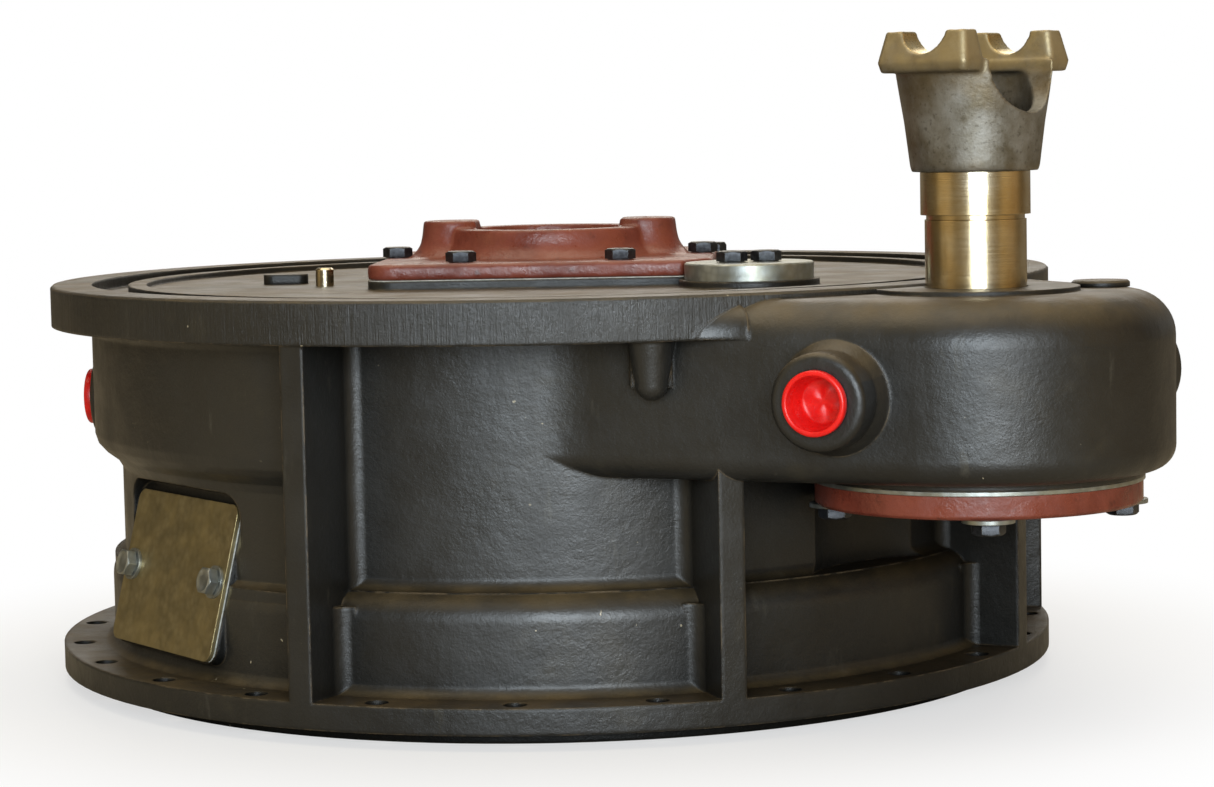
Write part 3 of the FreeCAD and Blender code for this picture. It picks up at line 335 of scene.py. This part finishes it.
def gear_steel():
    """Hardened gear and bearing steel under oil."""
    g = Graph("gear_steel")
    grain = g.noise(180.0, 4.0, 0.6)
    base = g.mix(g.spread(grain), srgb(92, 92, 90), srgb(142, 140, 134))
    oil = g.ramp(g.noise(22.0, 4.0, 0.6), 0.45, 0.7)
    base = g.mix(g.both(oil, 0.4), base, srgb(104, 88, 58))
    rough = g.spread(grain, 0.20, 0.36)
    normal = g.bump(grain, 0.00008, g.soft_normal(0.0006), 0.6)
    return g.finish(Base_Color=base, Metallic=1.0, Roughness=rough, Normal=normal)


def dark_bolts():
    """Black oxide bolts, bright where a wrench has rubbed the corners."""
    g = Graph("dark_bolts")
    grain = g.noise(420.0, 4.0, 0.6)
    base = g.mix(g.spread(grain), srgb(38, 39, 42), srgb(66, 68, 72))
    # Upward faces turn brown: partly dust, partly painted warm light from above.
    dust_and_top_light = g.both(g.facing_up(0.5, 0.95), g.ramp(g.noise(150.0, 4.0, 0.6), 0.4, 0.7))
    base = g.mix(g.both(dust_and_top_light, 0.4), base, srgb(104, 92, 70))
    wear = g.both(g.edge(0.0008), g.ramp(g.noise(300.0, 4.0, 0.7), 0.36, 0.58))
    base = g.mix(g.both(wear, 0.75), base, srgb(150, 150, 150))
    rough = g.spread(grain, 0.28, 0.44)
    normal = g.bump(grain, 0.00012, g.soft_normal(0.0006), 0.7)
    return g.finish(Base_Color=base, Metallic=0.7, Roughness=rough, Normal=normal)


def zinc(name, light, shade, tint):
    """Bright zinc with the faint yellow passivation of plated hardware."""
    g = Graph(name)
    spangle = g.cells(240.0)
    base = g.mix(g.ramp(spangle, 0.0, 0.9), light, shade)
    cloud = g.ramp(g.noise(42.0, 5.0, 0.6), 0.40, 0.66)
    base = g.mix(g.both(cloud, 0.6), base, tint)
    fine = g.noise(1.0, 4.0, 0.7, g.stretched((1500.0, 1500.0, 60.0)))
    rough = g.spread(g.noise(90.0, 5.0, 0.6), 0.30, 0.46)
    normal = g.bump(fine, 0.00005, g.soft_normal(0.0006), 0.6)
    return g.finish(Base_Color=base, Metallic=0.85, Roughness=rough, Normal=normal)


def red_plastic():
    """Moulded red plugs, grimy, with painted shade darkening the inside of the cup."""
    g = Graph("red_plastic")
    cloud = g.noise(70.0, 4.0, 0.6)
    base = g.mix(g.spread(cloud), srgb(208, 14, 14), srgb(232, 26, 22))
    grime = g.ramp(g.noise(160.0, 5.0, 0.7), 0.62, 0.75)
    base = g.mix(g.both(grime, 0.4), base, srgb(118, 20, 16))
    # Painted shade: the inside of the cup is darkened by an ambient-occlusion mask.
    base = g.mix(g.both(g.hollow(0.016, 0.15, 0.6), 0.85), base, srgb(92, 8, 8))
    rough = g.spread(g.noise(220.0, 3.0, 0.6), 0.26, 0.40)
    normal = g.bump(g.noise(500.0, 3.0, 0.5), 0.00008, g.soft_normal(0.0007), 0.5)
    return g.finish(Base_Color=base, Roughness=rough, Normal=normal, Subsurface_Weight=0.12,
                    Subsurface_Scale=0.004)


def soft_part(name, first, second, rough_low, rough_high):
    """Matt gasket fibre or seal rubber."""
    g = Graph(name)
    fibre = g.noise(340.0, 5.0, 0.65)
    base = g.mix(g.spread(fibre), first, second)
    rough = g.spread(g.noise(120.0, 4.0, 0.6), rough_low, rough_high)
    normal = g.bump(fibre, 0.00012, g.soft_normal(0.0004), 0.6)
    return g.finish(Base_Color=base, Roughness=rough, Normal=normal)


def bronze():
    """Plain bearing bronze."""
    g = Graph("bronze")
    grain = g.noise(200.0, 4.0, 0.6)
    base = g.mix(g.spread(grain), srgb(152, 104, 48), srgb(192, 146, 82))
    rough = g.spread(grain, 0.26, 0.42)
    normal = g.bump(grain, 0.00006, g.soft_normal(0.0005), 0.6)
    return g.finish(Base_Color=base, Metallic=1.0, Roughness=rough, Normal=normal)


def make_materials():
    return {
        "casing_paint": casing_paint(),
        "primer_red": primer_red(),
        "polished_steel": polished_steel(),
        "forged_steel": forged_steel(),
        "bored_steel": bored_steel(),
        "gear_steel": gear_steel(),
        "machined_iron": machined_iron(),
        "dark_bolts": dark_bolts(),
        "zinc_washers": zinc("zinc_washers", srgb(170, 174, 172), srgb(142, 145, 140), srgb(156, 152, 128)),
        "zinc_plate": zinc("zinc_plate", srgb(168, 154, 116), srgb(152, 138, 100), srgb(176, 158, 110)),
        "red_plastic": red_plastic(),
        "gasket": soft_part("gasket", srgb(150, 150, 142), srgb(196, 196, 188), 0.35, 0.6),
        "seal_rubber": soft_part("seal_rubber", srgb(22, 22, 22), srgb(40, 38, 36), 0.35, 0.55),
        "bronze": bronze(),
    }


def paint(obj, material):
    obj.data.materials.clear()
    obj.data.materials.append(material)


# ---------------------------------------------------------------- new pieces
WELD_GAP = 0.000002


def welded(node_name):
    """Copy of a CAD node's mesh in the row frame, with the corners that faces share joined."""
    source = NODES[node_name]
    mesh = bmesh.new()
    mesh.from_mesh(source.data)
    mesh.transform(source.matrix_world)
    bmesh.ops.remove_doubles(mesh, verts=mesh.verts, dist=WELD_GAP)
    return mesh


def stored(mesh, name):
    """Turn a working mesh into mesh data and free it."""
    data = bpy.data.meshes.new(name)
    mesh.to_mesh(data)
    mesh.free()
    return data


def islands(node_name):
    """Corner positions of each separate solid in a CAD node, in the row frame."""
    mesh = welded(node_name)
    mesh.verts.index_update()
    seen = set()
    groups = []
    for start in mesh.verts:
        if start.index in seen:
            continue
        seen.add(start.index)
        stack = [start]
        group = []
        while stack:
            vert = stack.pop()
            group.append(tuple(vert.co))
            for edge in vert.link_edges:
                other = edge.other_vert(vert)
                if other.index not in seen:
                    seen.add(other.index)
                    stack.append(other)
        groups.append(np.array(group))
    mesh.free()
    return groups


def long_axis(points):
    """Centre and direction of the axis a turned or hexagonal solid is symmetrical about."""
    centre = points.mean(axis=0)
    spread = points - centre
    values, vectors = np.linalg.eigh(spread.T @ spread)
    pick = 2 if values[1] - values[0] < values[2] - values[1] else 0
    return centre, vectors[:, pick]


class TurnedSolid:
    """Measurements of a bolt or plug: its axis, the wide end, and radii along it."""

    def __init__(self, points, wide_share=0.75):
        centre, axis = long_axis(points)
        along = (points - centre) @ axis
        around = points - centre - np.outer(along, axis)
        reach = np.linalg.norm(around, axis=1)
        wide = reach > wide_share * reach.max()
        if along[wide].mean() < (along.min() + along.max()) / 2:
            axis = -axis
            along = -along
        self.widest = reach.max()
        self.head_low = along[wide].min()
        self.head_high = along.max()
        self.tip = along.min()
        below = along < self.head_low - 0.0001
        self.shank = reach[below].max() if below.any() else 0.0
        corner = around[int(reach.argmax())]
        across = Vector(corner).normalized()
        up = Vector(axis).normalized()
        side = up.cross(across)
        base = Vector(centre) + up * self.head_low
        self.place = Matrix(((across.x, side.x, up.x, base.x), (across.y, side.y, up.y, base.y),
                             (across.z, side.z, up.z, base.z), (0, 0, 0, 1)))


def skin(mesh, rows, place, sides):
    """Close a skin over rows of points; each row gives radius and height at an angle."""
    loops = []
    for row in rows:
        loop = []
        for k in range(sides):
            angle = 2 * math.pi * k / sides
            radius, height = row(angle)
            spot = Vector((radius * math.cos(angle), radius * math.sin(angle), height))
            loop.append(mesh.verts.new(place @ spot))
        loops.append(loop)
    for low, high in zip(loops, loops[1:]):
        for k in range(sides):
            mesh.faces.new((low[k], low[(k + 1) % sides], high[(k + 1) % sides], high[k]))
    mesh.faces.new(list(reversed(loops[0])))
    mesh.faces.new(loops[-1])


def level(radius, height):
    return lambda angle: (radius, height)


def hexagonal(corner, height, limit=None):
    """Hexagon with a corner at angle 0, held inside a round limit where one is given."""
    def row(angle):
        fold = angle % (math.pi / 3) - math.pi / 6
        reach = corner * math.cos(math.pi / 6) / math.cos(fold)
        return (min(reach, limit) if limit else reach, height)
    return row


BOLT_SIDES = 36
THREAD_PITCH = 0.0014
THREAD_DEPTH = 0.0006
THREAD_START = 0.0012
THREAD_PLAIN = 0.004
POINT_HEIGHT = 0.0008
HEAD_DISH = 0.0003
CHAMFER_STEPS = 6
CHAMFER_SHARE = 0.93
TURNING_SLACK = 0.00001


def thread_rows(shank, length):
    """Pointed tip and a thread of plain grooves, up to the neck under the head."""
    root = shank - THREAD_DEPTH
    start = THREAD_START - length
    turns = int((length - THREAD_PLAIN) / THREAD_PITCH)
    rows = [level(shank * 0.72, -length), level(shank * 0.86, POINT_HEIGHT - length)]
    for k in range(turns):
        height = start + k * THREAD_PITCH
        rows += [level(root, height), level(shank, height + 0.5 * THREAD_PITCH)]
    rows += [level(root, start + turns * THREAD_PITCH), level(shank, -THREAD_START), level(shank, 0)]
    return rows


def head_rows(corner, head):
    """Washer face, hexagon with its top corners turned off, and a shallow dish on top."""
    flat = corner * math.cos(math.pi / 6)
    cut = corner - flat * CHAMFER_SHARE
    drop = cut * math.tan(math.pi / 6)
    rows = [level(flat * 0.94, 0), level(flat * 0.94, head * 0.08)]
    rows += [hexagonal(corner * 0.99, head * 0.08), hexagonal(corner, head * 0.11)]
    for k in range(CHAMFER_STEPS + 1):
        share = k / CHAMFER_STEPS
        rows.append(hexagonal(corner, head - drop * (1 - share), corner - cut * share + TURNING_SLACK))
    rows += [level(flat * 0.84, head), level(flat * 0.74, head - HEAD_DISH)]
    rows.append(level(flat * 0.3, head - HEAD_DISH))
    return rows


def bolt_rows(solid):
    length = solid.head_low - solid.tip
    head = solid.head_high - solid.head_low
    return thread_rows(solid.shank, length) + head_rows(solid.widest, head)


def soften_edges(data, angle):
    """Smooth shading, kept sharp where faces meet at more than the angle."""
    mesh = bmesh.new()
    mesh.from_mesh(data)
    bmesh.ops.recalc_face_normals(mesh, faces=mesh.faces)
    for face in mesh.faces:
        face.smooth = True
    for edge in mesh.edges:
        edge.smooth = len(edge.link_faces) == 2 and edge.calc_face_angle() < angle
    mesh.to_mesh(data)
    mesh.free()


def hand_over(piece, node_name, material):
    """Let a new piece stand for a CAD node, on the same body and in the same slot."""
    paint(piece, material)
    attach(piece, BODY_OF[node_name])
    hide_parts(node_name)


def piece_from(mesh, name, angle):
    data = stored(mesh, name)
    soften_edges(data, angle)
    return link(data, name)


def make_bolts(node_name):
    mesh = bmesh.new()
    for points in islands(node_name):
        solid = TurnedSolid(points)
        skin(mesh, bolt_rows(solid), solid.place, BOLT_SIDES)
    piece = piece_from(mesh, node_name + "_threaded", angle=0.5)
    hand_over(piece, node_name, MATERIALS[SLOT_OF[node_name]])


CAP_SIDES = 64
CAP_WALL = 0.0011
CAP_LIP = 0.0026
CAP_FLOOR = 0.0014
CAP_FOOT = 0.0014
OUTER_ROUND = 0.0012
INNER_ROUND = 0.0010
ROUND_STEPS = 5
SEAL_RIBS = 4
SEAL_RIB_FIRST = 0.86
SEAL_RIB_STEP = 0.2
SEAL_RIB_DEPTH = 0.0005
LOBES = 4
LOBE_LIFT = 0.0009


def plug_rows(shank, bottom):
    """Outside of the plug below its flange, with sealing ribs round it."""
    rows = [level(shank - 0.0012, bottom), level(shank - 0.0003, bottom + 0.0006)]
    for k in range(SEAL_RIBS):
        height = bottom * (SEAL_RIB_FIRST - SEAL_RIB_STEP * k)
        rows += [level(shank - SEAL_RIB_DEPTH, height), level(shank, height - bottom * SEAL_RIB_STEP / 2)]
    rows.append(level(shank, 0))
    return rows


def flange_rows(wide, mouth, top):
    """Underside, rim and lip of the flange, each rounded."""
    rows = [level(wide - 0.0008, 0), level(wide - 0.0002, 0.0003), level(wide, 0.0009)]
    for k in range(1, ROUND_STEPS + 1):
        turn = k / ROUND_STEPS * math.pi / 2
        inward = OUTER_ROUND * (1 - math.cos(turn))
        rows.append(level(wide - inward, top - OUTER_ROUND * (1 - math.sin(turn))))
    for k in range(ROUND_STEPS + 1):
        turn = k / ROUND_STEPS * math.pi / 2
        outward = INNER_ROUND * (1 - math.sin(turn))
        rows.append(level(mouth + outward, top - INNER_ROUND * (1 - math.cos(turn))))
    return rows


def lobed(radius, floor, share):
    """Ring of the cup's floor at a share of its radius, raised into lobes."""
    def row(angle):
        lift = LOBE_LIFT * (0.5 + 0.5 * math.cos(LOBES * angle)) * math.sin(math.pi * share)
        return (radius * share, floor + lift)
    return row


def cap_rows(solid):
    """Moulded plug: rounded flange, tapered cup and a cup floor pressed into lobes."""
    top = solid.head_high - solid.head_low
    bottom = solid.tip - solid.head_low
    cup = solid.shank - CAP_WALL
    mouth = solid.widest - CAP_LIP
    floor = bottom + CAP_FLOOR
    rows = plug_rows(solid.shank, bottom) + flange_rows(solid.widest, mouth, top)
    rows += [level(mouth - 0.0003, 0.0004), level(cup + 0.0002, -0.0010), level(cup, -0.0016)]
    rows += [level(cup - 0.0006, floor + 0.0020), level(cup - CAP_FOOT, floor + 0.0005)]
    rows += [lobed(cup - CAP_FOOT, floor, share) for share in (0.85, 0.68, 0.5, 0.33, 0.16)]
    return rows


def make_cap(node_name):
    mesh = bmesh.new()
    for points in islands(node_name):
        solid = TurnedSolid(points, wide_share=0.9)
        skin(mesh, cap_rows(solid), solid.place, CAP_SIDES)
    piece = piece_from(mesh, node_name + "_moulded", angle=0.9)
    hand_over(piece, node_name, MATERIALS[SLOT_OF[node_name]])


def bake(piece):
    """Replace a new piece's mesh with what its modifiers make of it."""
    graph = bpy.context.evaluated_depsgraph_get()
    baked = bpy.data.meshes.new_from_object(piece.evaluated_get(graph))
    piece.modifiers.clear()
    piece.data = baked


def cast_copy(node_name, name, grain, rounds):
    """Copy of a CAD node in cells of the grain's size, its edges worn round by rounds of smoothing."""
    piece = link(stored(welded(node_name), name), name)
    cells = piece.modifiers.new("cells", "REMESH")
    cells.mode = "VOXEL"
    cells.voxel_size = grain
    rub = piece.modifiers.new("rub", "SMOOTH")
    rub.factor = 0.5
    rub.iterations = rounds
    bake(piece)
    return piece


BAR_SIDES = 96
SEAT_BAR_LENGTH = 0.14
SEAT_SLACK = 0.0002


def round_bar(name, centre, axis, radius, length):
    direction = Vector(axis).normalized()
    turn = direction.to_track_quat("Z", "Y").to_matrix().to_4x4()
    mesh = bmesh.new()
    place = Matrix.Translation(centre) @ turn
    skin(mesh, [level(radius, -length / 2), level(radius, length / 2)], place, BAR_SIDES)
    bmesh.ops.recalc_face_normals(mesh, faces=mesh.faces)
    return link(stored(mesh, name), name)


def cut_away(piece, cutter):
    cut = piece.modifiers.new("cut", "BOOLEAN")
    cut.operation = "DIFFERENCE"
    cut.solver = "MANIFOLD"
    cut.object = cutter
    bake(piece)
    bpy.data.objects.remove(cutter)


def make_yoke():
    """Forged half-round yoke with soft edges and freshly bored bearing seats."""
    piece = cast_copy("output_yoke", "output_yoke_forging", grain=0.0008, rounds=7)
    seat = MOUNTS["yoke_cross_seats"]
    centre = Vector(seat["pos_m"])
    axis = Vector(seat["axis"]).normalized()
    radius = seat["dims"]["r_mm"] / 1000
    cut_away(piece, round_bar("seat_bar", centre, axis, radius, SEAT_BAR_LENGTH))
    soften_edges(piece.data, angle=0.7)
    hand_over(piece, "output_yoke", MATERIALS["forged_steel"])
    piece.data.materials.append(MATERIALS["bored_steel"])
    for face in piece.data.polygons:
        offset = face.center - centre
        across = offset - axis * offset.dot(axis)
        on_seat = abs(across.length - radius) < SEAT_SLACK
        if on_seat and abs(face.normal.dot(across.normalized())) > 0.9:
            face.material_index = 1


def make_centre_cover():
    """Cast cover with every edge rubbed round."""
    piece = cast_copy("centre_cover", "centre_cover_casting", grain=0.0013, rounds=4)
    soften_edges(piece.data, angle=0.9)
    hand_over(piece, "centre_cover", MATERIALS["primer_red"])


# ---------------------------------------------------------------- stage
BACKGROUND = 1.0
WALL_GLOW = 0.42
FLOOR_R = 14.0
FLOOR_SIDES = 96
FLOOR_GAP = 0.0002
FLOOR_FADE = (0.26, 0.50)


def floor_material():
    """White that fades into the background for the eye, and dull ground for what the object reflects."""
    g = Graph("floor")
    cloud = g.noise(3.0, 4.0, 0.5)
    pale = g.mix(cloud, (0.78, 0.80, 0.84, 1), (0.82, 0.84, 0.88, 1))
    dull = g.mix(cloud, (0.36, 0.31, 0.22, 1), (0.46, 0.40, 0.29, 1))
    near = g.add("ShaderNodeBsdfPrincipled", {"Base Color": pale, "Roughness": 0.6})
    glow = g.add("ShaderNodeEmission", {"Color": (1, 1, 1, 1), "Strength": BACKGROUND})
    reach = g.add("ShaderNodeVectorMath", {0: g.place}, operation="LENGTH").outputs["Value"]
    far = g.ramp(reach, *FLOOR_FADE, 0.62, 1.0)
    seen = g.add("ShaderNodeMixShader", {0: far, 1: near.outputs[0], 2: glow.outputs[0]})
    bounced = g.add("ShaderNodeBsdfPrincipled", {"Base Color": dull, "Roughness": 0.7})
    ray = g.add("ShaderNodeLightPath").outputs["Is Camera Ray"]
    blend = g.add("ShaderNodeMixShader", {0: ray, 1: bounced.outputs[0], 2: seen.outputs[0]})
    out = g.add("ShaderNodeOutputMaterial")
    g.links.new(blend.outputs[0], out.inputs["Surface"])
    return g.material


def make_floor():
    """Round floor just under the object."""
    low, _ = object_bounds()
    mesh = bmesh.new()
    bmesh.ops.create_circle(mesh, cap_ends=True, segments=FLOOR_SIDES, radius=FLOOR_R)
    floor = link(stored(mesh, "floor"), "floor")
    floor.location = (0, 0, low.z - FLOOR_GAP)
    paint(floor, floor_material())


# Stops of (degrees about the vertical, colour): 0 is behind the object, 90 to its right, 180 in front of it.
WALLS = (
    (-180, (0.85, 0.85, 0.82)),
    (-150, (0.75, 0.67, 0.52)),
    (-128, (0.55, 0.42, 0.22)),
    (-112, (2.00, 1.55, 0.85)),
    (-94, (1.80, 1.40, 0.75)),
    (-80, (0.30, 0.23, 0.13)),
    (-50, (0.12, 0.10, 0.07)),
    (-20, (0.62, 0.58, 0.50)),
    (20, (0.62, 0.58, 0.50)),
    (50, (0.70, 0.66, 0.58)),
    (75, (0.22, 0.14, 0.06)),
    (98, (1.20, 0.76, 0.32)),
    (125, (1.80, 1.28, 0.58)),
    (140, (0.65, 0.52, 0.32)),
    (158, (1.10, 1.05, 0.92)),
    (180, (0.85, 0.85, 0.82)),
)


def wall_colour(nodes, links):
    """Colour of the walls in each direction about the vertical."""
    aim = nodes.new("ShaderNodeTexCoord")
    split = nodes.new("ShaderNodeSeparateXYZ")
    turn = nodes.new("ShaderNodeMath")
    turn.operation = "ARCTAN2"
    share = nodes.new("ShaderNodeMapRange")
    share.inputs["From Min"].default_value = -math.pi
    share.inputs["From Max"].default_value = math.pi
    tones = nodes.new("ShaderNodeValToRGB")
    tones.color_ramp.interpolation = "EASE"
    while len(tones.color_ramp.elements) < len(WALLS):
        tones.color_ramp.elements.new(0.5)
    for stop, (degrees, colour) in zip(tones.color_ramp.elements, WALLS):
        stop.position = (degrees + 180) / 360
        stop.color = (*colour, 1)
    links.new(aim.outputs["Generated"], split.inputs[0])
    links.new(split.outputs["X"], turn.inputs[0])
    links.new(split.outputs["Y"], turn.inputs[1])
    links.new(turn.outputs[0], share.inputs["Value"])
    links.new(share.outputs["Result"], tones.inputs["Fac"])
    return tones.outputs["Color"]


def make_world():
    """White to the eye; warm, uneven walls for whatever the metal and the paint reflect."""
    world = bpy.data.worlds.new("studio")
    bpy.context.scene.world = world
    world.use_nodes = True
    nodes = world.node_tree.nodes
    links = world.node_tree.links
    nodes.clear()
    seen = nodes.new("ShaderNodeBackground")
    seen.inputs["Color"].default_value = (1, 1, 1, 1)
    seen.inputs["Strength"].default_value = BACKGROUND
    glow = nodes.new("ShaderNodeBackground")
    glow.inputs["Strength"].default_value = WALL_GLOW
    path = nodes.new("ShaderNodeLightPath")
    blend = nodes.new("ShaderNodeMixShader")
    out = nodes.new("ShaderNodeOutputWorld")
    links.new(wall_colour(nodes, links), glow.inputs["Color"])
    links.new(path.outputs["Is Camera Ray"], blend.inputs[0])
    links.new(glow.outputs[0], blend.inputs[1])
    links.new(seen.outputs[0], blend.inputs[2])
    links.new(blend.outputs[0], out.inputs["Surface"])


def area_light(name, place, target, width, height, watts, colour):
    data = bpy.data.lights.new(name, "AREA")
    data.shape = "RECTANGLE"
    data.size = width
    data.size_y = height
    data.energy = watts
    data.color = colour
    light = link(data, name)
    light.location = place
    light.rotation_euler = (Vector(target) - Vector(place)).to_track_quat("-Z", "Y").to_euler()


def make_lights():
    centre = (0.0, 0.0, 0.12)
    area_light("overhead", (-0.2, 0.1, 2.4), centre, 2.6, 2.0, 30, (1.0, 0.90, 0.72))
    area_light("front", (0.05, -3.3, 0.75), centre, 1.8, 1.4, 90, (0.80, 0.91, 1.0))
    area_light("strip", (0.62, -3.0, 0.55), (0.21, -0.22, 0.25), 0.10, 1.6, 12, (1.0, 0.99, 0.96))
    area_light("back", (0.3, 2.8, 1.7), centre, 2.4, 1.2, 26, (1.0, 0.94, 0.84))


# ---------------------------------------------------------------- scene
VISIBLE_BOLTS = ("centre_cover_bolts", "idler_cap_bolts", "output_cover_bolts", "inspection_bolts")
PORT_CAPS = ("port_cap_front", "port_cap_right", "port_cap_left")

make_camera()
make_world()
make_lights()
make_floor()
MATERIALS = make_materials()
for node_name, node in NODES.items():
    paint(node, MATERIALS[SLOT_OF[node_name]])
for node_name in VISIBLE_BOLTS:
    make_bolts(node_name)
for node_name in PORT_CAPS:
    make_cap(node_name)
make_yoke()
make_centre_cover()

bpy.context.scene.view_settings.view_transform = "Standard"
